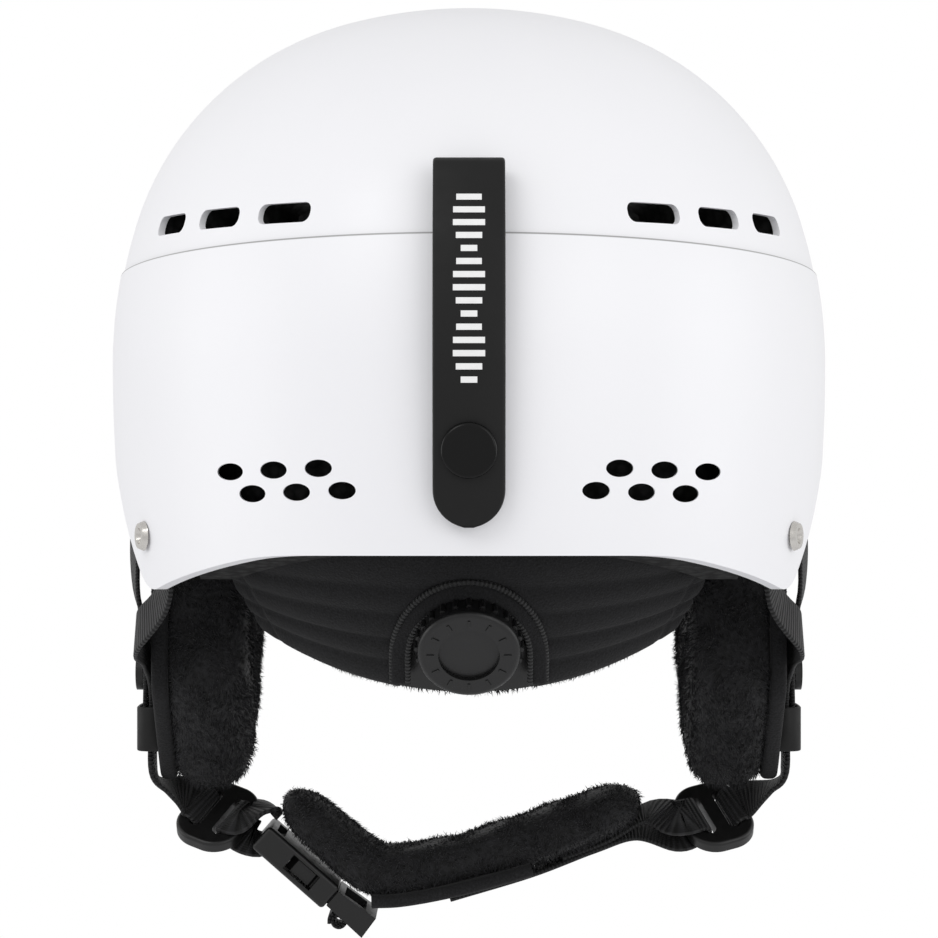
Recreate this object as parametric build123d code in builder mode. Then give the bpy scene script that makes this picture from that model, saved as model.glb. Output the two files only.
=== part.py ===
from build123d import *
import os
from math import cos, radians, sin, sqrt

# Ski helmet: hard shell in two stacked pieces over a foam liner, with comfort pads,
# soft ear pads, a webbing harness with a buckled chin strap, a dial fit system with a
# padded neck cradle and a rubber goggle strap with a snap at the back.
# Frame: +Y is the wearer's forward direction, +X the wearer's right, +Z up.
# The origin is the middle of the head opening, 20 mm above the rear harness rivets.

os.makedirs("parts", exist_ok=True)

# ---------------------------------------------------------------- driving dimensions (mm)
HALF_WIDTH = 113.0          # shell, side to side
HALF_LENGTH = 136.0         # shell, front to back
CROWN_Z = 146.0             # top of the shell
EQUATOR_Z = 33.0            # height where the shell is widest
CROWN_RADIUS = 150.0        # large arcs of the dome's outline
SHOULDER_RADIUS = 93.8      # tighter arc between them
CROWN_SWEEP = 17.3          # degrees of each large arc
TUCK_RADIUS = 520.0         # slow inward curve below the equator
TUCK_SWEEP = 9.0
LENGTH_RATIO = HALF_LENGTH / HALF_WIDTH

SHELL_STEP = 0.8            # the lower shell stands this much proud of the upper one
SHELL_INNER = 2.8
LINER_OUTER = 3.1
LINER_INNER = 20.0
PATCH_OUTER, PATCH_INNER = 20.1, 21.1
PAD_OUTER, PAD_INNER = 21.4, 28.0

SEAM_Z = 59.5               # parting line of the two shells, above the ears
SEAM_SLOPE = 0.045          # it climbs towards the back

# lower edge of the shell, back to front, as (y, z) corners with their bend radii
HEM = [(-150, -23.5), (-112, -24.5), (-60, -37.5), (-24, 4), (40, 10), (92, 26), (150, 26)]
HEM_RADII = [60, 13, 40, 60, 60]
LINER_HEM_RISE = 3.0

VENT_X = (53.0, 73.0, 89.0)             # slot vents, distance from the middle
VENT_Z = 72.4
SLOT_LENGTH, SLOT_HEIGHT = 18.5, 5.8
OVAL_ROWS = ((42.0, 0.2), (35.3, -6.0))  # (first x, z) of each row of oval vents
OVAL_PITCH = 13.0
OVAL_WIDTH, OVAL_HEIGHT = 7.8, 4.9

REAR_RIVET = (-63.6, -20.0)  # (y, z) of the harness rivets
FRONT_RIVET = (53.0, 24.0)
RIVET_HOLE_RADIUS = 2.2

STRAP_WIDTH = 20.0          # goggle strap
STRAP_THICKNESS = 2.0
FOLD_Y, FOLD_Z = -128.5, 84.0
SNAP_Z = 5.2
SNAP_FACE_Y = -141.1        # outer face of the strap at the snap

NECK_AXIS_Y = -20.0         # vertical axis that the neck cradle curves around
NECK_HALF_ANGLE = 70.0
NECK_TOP_Z, NECK_KNEE_Z, NECK_TOE_Z = -12.0, -24.0, -66.0
NECK_RADIUS = 84.0          # outside of the padded cover
COVER_INNER = 81.3
PLATE_OUTER, PLATE_INNER = 79.2, 77.8
PLATE_HALF_ANGLE = 64.0
FLEECE_OUTER, FLEECE_INNER = 77.4, 70.5
NECK_TAPER = 27.0           # radius lost between the knee and the toe
NECK_EDGE_RADIUS = 125.0    # lower edge of the pad, seen from behind
NOTCH_WIDTH, BINDING_WIDTH = 35.0, 46.0
NOTCH_CENTRE_Z = -55.2

DIAL_POINT = (0, -87.6, -49.2)
DIAL_NORMAL = (0, -0.8415, -0.5402)
DIAL_RADIUS = 15.0

WEB_WIDTH, WEB_THICKNESS = 15.0, 1.5
EAR_INNER_X, EAR_PAD_X, EAR_OUTER_X = 69.0, 94.0, 99.0
EAR_OUTLINE = [(-18, 18), (34, 18), (44, -20), (38, -70), (0, -105), (-34, -70), (-34, -30)]

BUCKLE_ORIGIN = (-66.5, 6, -117)
BUCKLE_ALONG = (0.7507, 0, -0.6606)
BUCKLE_UP = (0.6606, 0, 0.7507)
CHIN_Y = 6.0                # middle of the chin strap, front to back
CHIN_PAD_THICKNESS, CHIN_PAD_WIDTH = 14.4, 34.0

SIDES = ((-1, "left"), (1, "right"))

neck_axis = Axis((0, NECK_AXIS_Y, 0), (0, 0, -1))
dial_plane = Plane(origin=DIAL_POINT, x_dir=(1, 0, 0), z_dir=DIAL_NORMAL)
buckle_plane = Plane(origin=BUCKLE_ORIGIN, x_dir=BUCKLE_ALONG, z_dir=BUCKLE_UP)
seam_plane = Plane(origin=(0, 0, SEAM_Z), x_dir=(1, 0, 0), z_dir=(0, SEAM_SLOPE, 1))


# ---------------------------------------------------------------- shared shapes
def save(piece, label):
    """Name a finished piece and write it."""
    piece.part.label = label
    export_step(piece.part, f"parts/{label}.step")


def dome_outline(inset):
    """Quarter outline of the dome, moved inwards by inset; gives its crown and hem ends."""
    crown = JernArc(start=(0, CROWN_Z - inset), tangent=(1, 0), radius=CROWN_RADIUS - inset,
                    arc_size=-CROWN_SWEEP)
    shoulder = JernArc(start=crown @ 1, tangent=crown % 1, radius=SHOULDER_RADIUS - inset,
                       arc_size=2 * CROWN_SWEEP - 90)
    side = JernArc(start=shoulder @ 1, tangent=shoulder % 1, radius=CROWN_RADIUS - inset,
                   arc_size=-CROWN_SWEEP)
    tuck = JernArc(start=side @ 1, tangent=side % 1, radius=TUCK_RADIUS - inset,
                   arc_size=-TUCK_SWEEP)
    return crown @ 0, tuck @ 1


def dome_layer(outer, inner):
    """Closed dome-shaped layer between two insets, oval in plan and still uncut below."""
    with BuildPart() as layer:
        with BuildSketch(Plane.XZ):
            with BuildLine():
                outer_crown, outer_hem = dome_outline(outer)
                inner_crown, inner_hem = dome_outline(inner)
                Line(outer_crown, inner_crown)
                Line(outer_hem, inner_hem)
            make_face()
        revolve(axis=Axis.Z)
        scale(by=(1, LENGTH_RATIO, 1))
    return layer.part


def shell_half_width(z):
    """Half width of the shell at a height between the hem and the shoulder."""
    if z < EQUATOR_Z:
        return HALF_WIDTH - TUCK_RADIUS + sqrt(TUCK_RADIUS**2 - (EQUATOR_Z - z) ** 2)
    return HALF_WIDTH - CROWN_RADIUS + sqrt(CROWN_RADIUS**2 - (z - EQUATOR_Z) ** 2)


def above_hem(rise):
    """Everything above the lower edge of the helmet, raised by rise."""
    corners = [(y, z + rise) for y, z in HEM]
    with BuildPart() as region:
        with BuildSketch(Plane.YZ):
            with BuildLine():
                FilletPolyline(*corners, radius=HEM_RADII)
                Polyline(corners[-1], (150, 160), (-150, 160), corners[0])
            make_face()
        extrude(amount=HALF_WIDTH + 10, both=True)
    return region.part


def shell_spot(side, y, z):
    """Point on the shell's outer face beside y and z, with the direction straight out."""
    half_width = shell_half_width(z)
    half_length = half_width * LENGTH_RATIO
    x = side * half_width * sqrt(1 - (y / half_length) ** 2)
    return (x, y, z), (x / half_width**2, y / half_length**2, 0)


def vent_plane(x, end):
    """Plane on the shell at a slot vent, facing straight out; end is -1 back or 1 front."""
    half_width = shell_half_width(VENT_Z)
    half_length = half_width * LENGTH_RATIO
    y = end * half_length * sqrt(1 - (x / half_width) ** 2)
    outward = Vector(x / half_width**2, y / half_length**2, 0)
    return Plane(origin=(x, y, VENT_Z), x_dir=Vector(0, 0, 1).cross(outward), z_dir=outward)


def slot_vents(length, height, depth):
    """The twelve slot-shaped tools that open the upper vents, six behind and six in front."""
    with BuildPart() as tools:
        for end in (-1, 1):
            for side, _ in SIDES:
                for x in VENT_X:
                    with BuildSketch(vent_plane(side * x, end).offset(8)):
                        RectangleRounded(length, height, height * 0.42)
                    extrude(amount=-8 - depth)
    return tools.part


def neck_layer(outer, inner, half_angle=NECK_HALF_ANGLE):
    """One layer of the neck cradle: straight above the knee, drawn in below it."""
    angle = radians(half_angle)
    start = Plane(origin=(0, NECK_AXIS_Y, 0), x_dir=(sin(angle), -cos(angle), 0),
                  z_dir=(-cos(angle), -sin(angle), 0))
    with BuildPart() as layer:
        with BuildSketch(start):
            with BuildLine():
                Polyline((outer, NECK_TOP_Z), (outer, NECK_KNEE_Z),
                         (outer - NECK_TAPER, NECK_TOE_Z), (inner - NECK_TAPER, NECK_TOE_Z),
                         (inner, NECK_KNEE_Z), (inner, NECK_TOP_Z), close=True)
            make_face()
        revolve(axis=neck_axis, revolution_arc=2 * half_angle)
        with BuildSketch(Plane.XZ):
            with Locations((0, NECK_TOE_Z + NECK_EDGE_RADIUS)):
                Circle(NECK_EDGE_RADIUS)
        extrude(amount=150, both=True, mode=Mode.INTERSECT)
    return layer.part


def notch(width):
    """Upright slot with a round top, open below, that clears the dial."""
    with BuildPart() as cutter:
        with BuildSketch(Plane.XZ.offset(50)):
            with Locations((0, NOTCH_CENTRE_Z)):
                Circle(width / 2)
            with Locations((0, NOTCH_CENTRE_Z - 15)):
                Rectangle(width, 30)
        extrude(amount=80)
    return cutter.part


def band_sector(outer, inner, low, high, start_angle, arc):
    """Part of a strip in the cradle's pocket, between two heights and over an arc.

    The arc starts at start_angle, measured from straight back towards the wearer's left,
    and runs to the right."""
    def strip_radius(radius, z):
        return radius - NECK_TAPER * max(NECK_KNEE_Z - z, 0) / (NECK_KNEE_Z - NECK_TOE_Z)

    angle = radians(start_angle)
    start = Plane(origin=(0, NECK_AXIS_Y, 0), x_dir=(-sin(angle), -cos(angle), 0),
                  z_dir=(-cos(angle), sin(angle), 0))
    with BuildPart() as sector:
        with BuildSketch(start):
            with BuildLine():
                Polyline((strip_radius(outer, low), low), (strip_radius(outer, high), high),
                         (strip_radius(inner, high), high), (strip_radius(inner, low), low),
                         close=True)
            make_face()
        revolve(axis=Axis((0, NECK_AXIS_Y, 0), (0, 0, 1)), revolution_arc=arc)
    return sector.part


def ribbon(stations, width=WEB_WIDTH, thickness=WEB_THICKNESS):
    """Webbing through stations of (centre, direction across the webbing)."""
    centres = [Vector(*centre) for centre, _ in stations]
    with BuildPart() as strip:
        for index, (_, across) in enumerate(stations):
            before = centres[max(index - 1, 0)]
            after = centres[min(index + 1, len(centres) - 1)]
            with BuildSketch(Plane(origin=centres[index], x_dir=across, z_dir=after - before)):
                Rectangle(width, thickness)
        loft(ruled=True)
    return strip.part


def mirrored(stations, side):
    """Stations of a ribbon on the wearer's right, moved to the given side."""
    return [((side * x, y, z), (side * u, v, w)) for (x, y, z), (u, v, w) in stations]


def ear_outline(grow=0.0):
    """Face with the outline of an ear pad seen from the side, made larger by grow."""
    with BuildSketch() as outline:
        with BuildLine():
            FilletPolyline(*EAR_OUTLINE, radius=12, close=True)
        make_face()
        if grow:
            offset(amount=grow)
    return outline.sketch


# ---------------------------------------------------------------- shell
oval_spots = [(side * (first + OVAL_PITCH * step), z - 0.5 * step)
              for side, _ in SIDES for first, z in OVAL_ROWS for step in range(3)]
rivet_spots = [shell_spot(side, y, z) for side, _ in SIDES
               for y, z in (REAR_RIVET, FRONT_RIVET)]
helmet_region = above_hem(0)
slot_cutters = slot_vents(SLOT_LENGTH, SLOT_HEIGHT, 14)

with BuildPart() as rivet_holes:
    for spot, outward in rivet_spots:
        with BuildSketch(Plane(origin=spot, z_dir=outward).offset(5)):
            Circle(RIVET_HOLE_RADIUS)
        extrude(amount=-16)

with BuildPart() as upper_shell:
    add(dome_layer(SHELL_STEP, SHELL_INNER))
    split(bisect_by=seam_plane, keep=Keep.TOP)
    add(slot_cutters, mode=Mode.SUBTRACT)
save(upper_shell, "upper_shell")

with BuildPart() as lower_shell:
    add(dome_layer(0, SHELL_INNER))
    split(bisect_by=seam_plane, keep=Keep.BOTTOM)
    add(helmet_region, mode=Mode.INTERSECT)
    with BuildSketch(Plane.XZ.offset(150)):
        with Locations(*oval_spots):
            Ellipse(OVAL_WIDTH / 2, OVAL_HEIGHT / 2)
    extrude(amount=-90, mode=Mode.SUBTRACT)
    add(rivet_holes.part, mode=Mode.SUBTRACT)
save(lower_shell, "lower_shell")

# Shallow pockets in the foam behind the oval vents.
with BuildPart() as oval_recess:
    add(dome_layer(LINER_OUTER - 0.5, LINER_OUTER + 7))
    with BuildSketch(Plane.XZ.offset(150)):
        with Locations((-52, -3), (52, -3)):
            RectangleRounded(44, 15, 5)
    extrude(amount=-90, mode=Mode.INTERSECT)

# The liner is a dome of moulded foam, opened for the vents, the ear pads and the webbing.
with BuildPart() as foam_liner:
    add(dome_layer(LINER_OUTER, LINER_INNER))
    add(above_hem(LINER_HEM_RISE), mode=Mode.INTERSECT)
    add(slot_vents(SLOT_LENGTH + 3, SLOT_HEIGHT + 3, 36), mode=Mode.SUBTRACT)
    add(oval_recess.part, mode=Mode.SUBTRACT)
    for side, _ in SIDES:
        with BuildSketch(Plane.YZ.offset(side * 60)):
            add(ear_outline(2.5))
        extrude(amount=side * 42, mode=Mode.SUBTRACT)
        with BuildSketch(Plane.YZ.offset(side * 80)):
            with Locations((-60, -28)):
                Rectangle(34, 40)
            with Locations((43, 0)):
                Rectangle(42, 68)
        extrude(amount=side * 32, mode=Mode.SUBTRACT)
save(foam_liner, "foam_liner")

# Domed steel rivets that hold the harness webbing to the lower shell.
with BuildPart() as strap_rivets:
    for spot, outward in rivet_spots:
        with BuildSketch(Plane(origin=spot, z_dir=outward).offset(0.6)):
            Circle(4.5)
            Circle(1.7, mode=Mode.SUBTRACT)
        extrude(amount=1.6, taper=24)
        with BuildSketch(Plane(origin=spot, z_dir=outward).offset(0.5)):
            Circle(1.9)
        extrude(amount=-7.6)
save(strap_rivets, "strap_rivets")

# ---------------------------------------------------------------- comfort pads
pad_layer = dome_layer(PAD_OUTER, PAD_INNER)
with BuildPart() as crown_pad:
    add(pad_layer)
    with BuildSketch(Plane.XY.offset(60)):
        RectangleRounded(64, 112, 24)
    extrude(amount=100, mode=Mode.INTERSECT)
save(crown_pad, "crown_pad")

with BuildPart() as brow_pad:
    add(pad_layer)
    with BuildSketch(Plane.XZ.offset(-50)):
        with Locations((0, 42)):
            RectangleRounded(132, 21, 8)
    extrude(amount=-90, mode=Mode.INTERSECT)
save(brow_pad, "brow_pad")

for side, name in SIDES:
    with BuildPart() as side_pad:
        add(pad_layer)
        with BuildSketch(Plane.YZ.offset(side * 50)):
            with Locations((0, 55)):
                RectangleRounded(86, 32, 12)
        extrude(amount=side * 80, mode=Mode.INTERSECT)
    save(side_pad, f"side_pad_{name}")

with BuildPart() as hook_patches:
    add(dome_layer(PATCH_OUTER, PATCH_INNER))
    with BuildSketch(Plane.XY.offset(60)):
        with GridLocations(36, 70, 2, 2):
            Circle(8)
    crown_spots = extrude(amount=100, mode=Mode.PRIVATE)
    with BuildSketch(Plane.XZ.offset(-50)):
        with Locations((-40, 42), (40, 42)):
            Circle(8)
    brow_spots = extrude(amount=-90, mode=Mode.PRIVATE)
    with BuildSketch(Plane.YZ):
        with Locations((-26, 55), (26, 55)):
            Circle(8)
    side_spots = extrude(amount=120, both=True, mode=Mode.PRIVATE)
    add([crown_spots, brow_spots, side_spots], mode=Mode.INTERSECT)
save(hook_patches, "hook_patches")

# ---------------------------------------------------------------- goggle strap
# The short leg lies on the shell under the folded flap and ends in the bead of the fold.
with BuildPart() as strap_anchor:
    with BuildSketch(Plane.YZ):
        with BuildLine():
            Polyline((-126.6, FOLD_Z), (-131.9, 66), (-133.9, 66.4), (-128.6, FOLD_Z), close=True)
        make_face()
        with Locations((FOLD_Y, FOLD_Z)):
            Circle(2.5)
    extrude(amount=STRAP_WIDTH / 2, both=True)
save(strap_anchor, "strap_anchor")

# The flap hangs from the fold to its rounded end below the snap.
flap_path = [(-132.3, 80.6), (-138.8, 70), (-143.2, 46), (-143.0, 22), (-138.6, -16)]
flap_bends = [14, 60, 60]
with BuildPart() as goggle_flap:
    with BuildSketch(Plane.YZ):
        with BuildLine():
            outer_face = FilletPolyline(*flap_path, radius=flap_bends)
            inner_face = FilletPolyline(*[(y + STRAP_THICKNESS, z) for y, z in flap_path],
                                        radius=flap_bends)
            Line(outer_face @ 0, inner_face @ 0)
            Line(outer_face @ 1, inner_face @ 1)
        make_face()
    extrude(amount=STRAP_WIDTH / 2, both=True)
    fillet(goggle_flap.edges().filter_by(Axis.Y).group_by(Axis.Z)[0], STRAP_WIDTH / 2 - 0.1)
save(goggle_flap, "goggle_flap")

snap_plane = Plane(origin=(0, SNAP_FACE_Y, SNAP_Z), x_dir=(1, 0, 0), z_dir=(0, -0.9934, -0.115))
with BuildPart() as snap_cap:
    with BuildSketch(snap_plane.offset(0.15)):
        Circle(7.75)
    extrude(amount=1.9)
    fillet(snap_cap.edges().sort_by(Axis.Y)[0], 0.9)
save(snap_cap, "snap_cap")

with BuildPart() as snap_socket:
    with BuildSketch(snap_plane.offset(-2.2)):
        Circle(5.5)
        Circle(2.4, mode=Mode.SUBTRACT)
    extrude(amount=-1.8)
save(snap_socket, "snap_socket")

with BuildPart() as snap_stud:
    with BuildSketch(snap_plane.offset(-5.45)):
        Circle(4.6)
    extrude(amount=0.7)
    with BuildSketch(snap_plane.offset(-4.8)):
        Circle(1.95)
    extrude(amount=1.9)
save(snap_stud, "snap_stud")

with BuildPart() as anchor_rivet:
    with BuildSketch(Plane(origin=(0, -132.2, 72.5), x_dir=(1, 0, 0), z_dir=(0, -0.959, 0.283))):
        Circle(4)
    extrude(amount=0.6)
save(anchor_rivet, "anchor_rivet")

# ---------------------------------------------------------------- fit system
# Bracket on the liner with two pins that the neck cradle slides along.
with BuildPart() as fit_bracket:
    with BuildSketch(Plane.XZ.offset(103.5)):
        with Locations((0, 0)):
            RectangleRounded(30, 12, 3)
    extrude(amount=4.9)
    with BuildSketch(Plane.XZ.offset(104)):
        with Locations((-8, 0), (8, 0)):
            Circle(2)
    extrude(amount=-13)
save(fit_bracket, "fit_bracket")

cover_notch = notch(BINDING_WIDTH)
with BuildPart() as neck_cover:
    add(neck_layer(NECK_RADIUS, COVER_INNER))
    add(cover_notch, mode=Mode.SUBTRACT)
save(neck_cover, "neck_cover")

with BuildPart() as notch_binding:
    add(neck_layer(NECK_RADIUS + 0.8, COVER_INNER, 30))
    add(notch(BINDING_WIDTH - 0.4), mode=Mode.INTERSECT)
    add(notch(NOTCH_WIDTH), mode=Mode.SUBTRACT)
save(notch_binding, "notch_binding")

with BuildPart() as neck_plate:
    add(neck_layer(PLATE_OUTER, PLATE_INNER, PLATE_HALF_ANGLE))
    with BuildSketch(Plane.XZ.offset(97.8)):
        with Locations((0, -5)):
            RectangleRounded(34, 22, 4)
        with Locations((-8, 0), (8, 0)):
            Circle(2.5, mode=Mode.SUBTRACT)
    extrude(amount=1.4)
save(neck_plate, "neck_plate")

with BuildPart() as neck_fleece:
    add(neck_layer(FLEECE_OUTER, FLEECE_INNER))
save(neck_fleece, "neck_fleece")

# Low cup that covers the pinion; its feet stand on the plate and the bands pass under it.
HOUSING_RADIUS, HOUSING_WALL = 11.8, 1.6
with BuildPart() as dial_housing:
    with BuildSketch(dial_plane.offset(-2.6)):
        Circle(HOUSING_RADIUS)
    extrude(amount=3.8)
    with BuildSketch(dial_plane.offset(-2.6)):
        Circle(HOUSING_RADIUS - HOUSING_WALL)
    extrude(amount=3.0, mode=Mode.SUBTRACT)
    with BuildSketch(dial_plane.offset(-3.8)):
        with Locations((0, 10.8), (0, -10.8)):
            Rectangle(8, 2.0)
    extrude(amount=2.4)
    with BuildSketch(dial_plane.offset(-2.6)):
        Circle(2.7)
    extrude(amount=5, mode=Mode.SUBTRACT)
save(dial_housing, "dial_housing")

# Round knob with a soft rim, small grip bumps, tick marks and a sunken centre.
with BuildPart() as dial_knob:
    with BuildSketch(dial_plane.offset(1.6)):
        Circle(DIAL_RADIUS)
    extrude(amount=7.2)
    fillet(dial_knob.edges().sort_by(Axis(DIAL_POINT, DIAL_NORMAL))[-1], 1.8)
    with BuildSketch(dial_plane.offset(2.2)):
        with PolarLocations(DIAL_RADIUS + 0.1, 24):
            Circle(0.8)
    extrude(amount=3.6)
    with BuildSketch(dial_plane.offset(7.4)):
        Circle(8.9)
    extrude(amount=3, mode=Mode.SUBTRACT)
    with BuildSketch(dial_plane.offset(8.5)):
        with PolarLocations(11.2, 12):
            Rectangle(2.2, 0.7)
    extrude(amount=0.6)
save(dial_knob, "dial_knob")

with BuildPart() as dial_pinion:
    with BuildSketch(dial_plane.offset(-3.2)):
        Circle(4)
    extrude(amount=2.9)
    with BuildSketch(dial_plane.offset(-0.3)):
        Circle(2.4)
    extrude(amount=1.9)
save(dial_pinion, "dial_pinion")

# Each band has a narrow tail beside the pinion and a wider end that leaves the pocket.
BAND_OUTER, BAND_INNER = 80.7, 79.6
band_sectors = {        # (low z, high z, start angle, arc) of the blank, then of its two cut-outs
    "left": [(-44.0, -28, 75, 77), (-40.2, -20, 30, 40), (-50, -40.2, 80, 38)],
    "right": [(-55.5, -28, 2, 77), (-51.6, -20, 10, 40), (-60, -40.2, -42, 40)],
}
for _, name in SIDES:
    blank, above_tail, below_end = band_sectors[name]
    with BuildPart() as fit_band:
        add(band_sector(BAND_OUTER, BAND_INNER, *blank))
        add(band_sector(BAND_OUTER + 3, BAND_INNER - 3, *above_tail), mode=Mode.SUBTRACT)
        add(band_sector(BAND_OUTER + 3, BAND_INNER - 3, *below_end), mode=Mode.SUBTRACT)
    save(fit_band, f"fit_band_{name}")

# ---------------------------------------------------------------- ear pads and harness
for side, name in SIDES:
    with BuildPart() as ear_pad:
        with BuildSketch(Plane.YZ.offset(side * EAR_INNER_X)):
            add(ear_outline())
        extrude(amount=side * (EAR_PAD_X - EAR_INNER_X))
    save(ear_pad, f"ear_pad_{name}")

    with BuildPart() as ear_cover:
        with BuildSketch(Plane.YZ.offset(side * (EAR_PAD_X + 0.3))):
            add(ear_outline(-4))
        extrude(amount=side * (EAR_OUTER_X - EAR_PAD_X - 0.3))
    save(ear_cover, f"ear_cover_{name}")

    # Plastic tab on top of the ear pad that clips it into the liner.
    with BuildPart() as ear_clip:
        with BuildSketch(Plane.YZ.offset(side * 99.2)):
            with Locations((4, 9)):
                RectangleRounded(24, 12, 3)
        extrude(amount=side * 2.4)
    save(ear_clip, f"ear_clip_{name}")

    # Elastic bridge that holds the webbing against the ear cover.
    with BuildPart() as strap_keeper:
        with BuildSketch(Plane.XY.offset(-90)):
            with Locations((side * 102.6, 0)):
                Rectangle(6.8, 22.8)
            with Locations((side * 101.9, 0)):
                Rectangle(5.4, 19.4, mode=Mode.SUBTRACT)
        extrude(amount=15)
    save(strap_keeper, f"strap_keeper_{name}")

    rear_stations = [((90.9, -61.3, -15), (0.4, 0.75, 0.5)), ((92.7, -52, -38), (0.3, 0.85, 0.4)),
                     ((101.6, -41, -50), (0, 0.5, 0.85)), ((101.5, -22, -55), (0, 0.35, 0.93)),
                     ((101, -6, -64), (0, 0.75, 0.6)), ((101, 0, -78), (0, 1, 0)),
                     ((101.4, 1, -96), (0, 1, 0)), ((97.6, 3, -102.3), (0.1, 1, 0.1)),
                     ((91, 4.2, -105.8), (0.3, 0.85, 0.4))]
    with BuildPart() as rear_webbing:
        add(ribbon(mirrored(rear_stations, side)))
        add(rivet_holes.part, mode=Mode.SUBTRACT)
    save(rear_webbing, f"rear_webbing_{name}")

    front_stations = [((98.4, 54, 28), (-0.3, 0.6, -0.7)), ((103.4, 34, 8), (-0.1, 0.7, -0.7)),
                      ((108, 19, -12), (0.25, 0.9, -0.3)), ((107.6, 8, -36), (0.2, 1, 0)),
                      ((103.1, 1, -56), (0, 1, 0)), ((103.1, 0, -76), (0, 1, 0))]
    with BuildPart() as front_webbing:
        add(ribbon(mirrored(front_stations, side)))
        add(rivet_holes.part, mode=Mode.SUBTRACT)
    save(front_webbing, f"front_webbing_{name}")

with BuildPart() as keeper_snaps:
    for side, _ in SIDES:
        with BuildSketch(Plane(origin=(side * 104.2, 0.5, -65), z_dir=(side, 0, 0))):
            Circle(5.8)
        extrude(amount=2.2)
save(keeper_snaps, "keeper_snaps")

# ---------------------------------------------------------------- chin strap
# Oval plates with two slots that join the ear webbing to the chin strap.
slider_planes = {}
for side, name in SIDES:
    tilt = radians(28 if side < 0 else 20)
    along = Vector(-side * cos(tilt), -0.79 * sin(tilt), -0.62 * sin(tilt))
    centre = Vector(side * 80 - 1, CHIN_Y, -112)
    slider_planes[name] = Plane(origin=centre, x_dir=along, z_dir=(0, -0.6173, 0.7867))
    with BuildPart() as slider:
        with BuildSketch(slider_planes[name].offset(-1.9)):
            RectangleRounded(22, 28, 9)
            with Locations((-4.4, 0), (4.4, 0)):
                SlotOverall(17, 4.2, rotation=90, mode=Mode.SUBTRACT)
        extrude(amount=3.8)
        fillet(slider.faces().sort_by(Axis(centre, (0, -0.6173, 0.7867)))[-1].outer_wire().edges(),
               1.2)
    save(slider, f"slider_{name}")

across_left = tuple(slider_planes["left"].y_dir)
with BuildPart() as chin_webbing_left:
    plate_spots = [tuple(slider_planes["left"].from_local_coords(Vector(x, 0, 3.4)))
                   for x in (3.0, 11.0)]
    add(ribbon([(plate_spots[0], across_left), (plate_spots[1], across_left),
                ((-68.2, CHIN_Y - 4, -109.6), (0.2, 1, 0.2)),
                ((-65.2, CHIN_Y, -109.9), (0, 1, 0)), ((-61.6, CHIN_Y, -113.4), (0, 1, 0))]))
save(chin_webbing_left, "chin_webbing_left")

across_right = tuple(slider_planes["right"].y_dir)
with BuildPart() as chin_webbing_right:
    plate_spots = [tuple(slider_planes["right"].from_local_coords(Vector(x, 0, 3.2)))
                   for x in (3.0, 12.6)]
    add(ribbon([(plate_spots[0], across_right), (plate_spots[1], across_right),
                ((56, CHIN_Y, -115), (0, 1, 0.1)), ((40, CHIN_Y, -122.5), (0, 1, 0)),
                ((20, CHIN_Y, -131), (0, 1, 0)), ((-6, CHIN_Y, -138.2), (0, 1, 0))]))
save(chin_webbing_right, "chin_webbing_right")

pad_path = [(-56.6, -105.0), (-31, -129.4), (-10, -127.6), (15, -120.8), (38, -111.9), (51.5, -105)]
with BuildPart() as chin_pad:
    with BuildSketch(Plane.XZ.offset(-CHIN_Y)):
        with BuildLine():
            FilletPolyline(*pad_path, radius=[9, 30, 30, 30])
            offset(amount=CHIN_PAD_THICKNESS / 2, side=Side.BOTH, kind=Kind.ARC)
        make_face()
    extrude(amount=CHIN_PAD_WIDTH / 2, both=True)
save(chin_pad, "chin_pad")

with BuildPart() as chin_pad_backing:
    with BuildSketch(Plane.XZ.offset(-CHIN_Y)):
        with BuildLine():
            Polyline((-30, -138.4), (-10, -135.6), (18, -128.0), (18.4, -129.6), (-9.8, -137.3),
                     (-30, -140.2), close=True)
        make_face()
    extrude(amount=14, both=True)
save(chin_pad_backing, "chin_pad_backing")

# ---------------------------------------------------------------- buckle
SOCKET_LENGTH, SOCKET_HALF_WIDTH, SOCKET_HALF_HEIGHT = 30.0, 13.0, 4.5
CAVITY_HALF_WIDTH, CAVITY_HALF_HEIGHT = 10.6, 2.8
CAVITY_START = 9.0
with BuildPart() as buckle_socket:
    with BuildSketch(buckle_plane.offset(-SOCKET_HALF_HEIGHT)):
        with Locations((SOCKET_LENGTH / 2, 0)):
            Rectangle(SOCKET_LENGTH, 2 * SOCKET_HALF_WIDTH)
    extrude(amount=2 * SOCKET_HALF_HEIGHT)
    fillet(buckle_socket.edges(), 1.3)
    with BuildSketch(buckle_plane.offset(-CAVITY_HALF_HEIGHT)):
        with Locations(((CAVITY_START + SOCKET_LENGTH + 2) / 2, 0)):
            Rectangle(SOCKET_LENGTH + 2 - CAVITY_START, 2 * CAVITY_HALF_WIDTH)
        with Locations((17.5, 0)):
            Rectangle(11, 2 * SOCKET_HALF_WIDTH + 4)
    extrude(amount=2 * CAVITY_HALF_HEIGHT, mode=Mode.SUBTRACT)
    with BuildSketch(buckle_plane.offset(-SOCKET_HALF_HEIGHT - 1)):
        with Locations((4.6, 0)):
            Rectangle(3.2, 17)
    extrude(amount=2 * SOCKET_HALF_HEIGHT + 2, mode=Mode.SUBTRACT)
save(buckle_socket, "buckle_socket")

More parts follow.
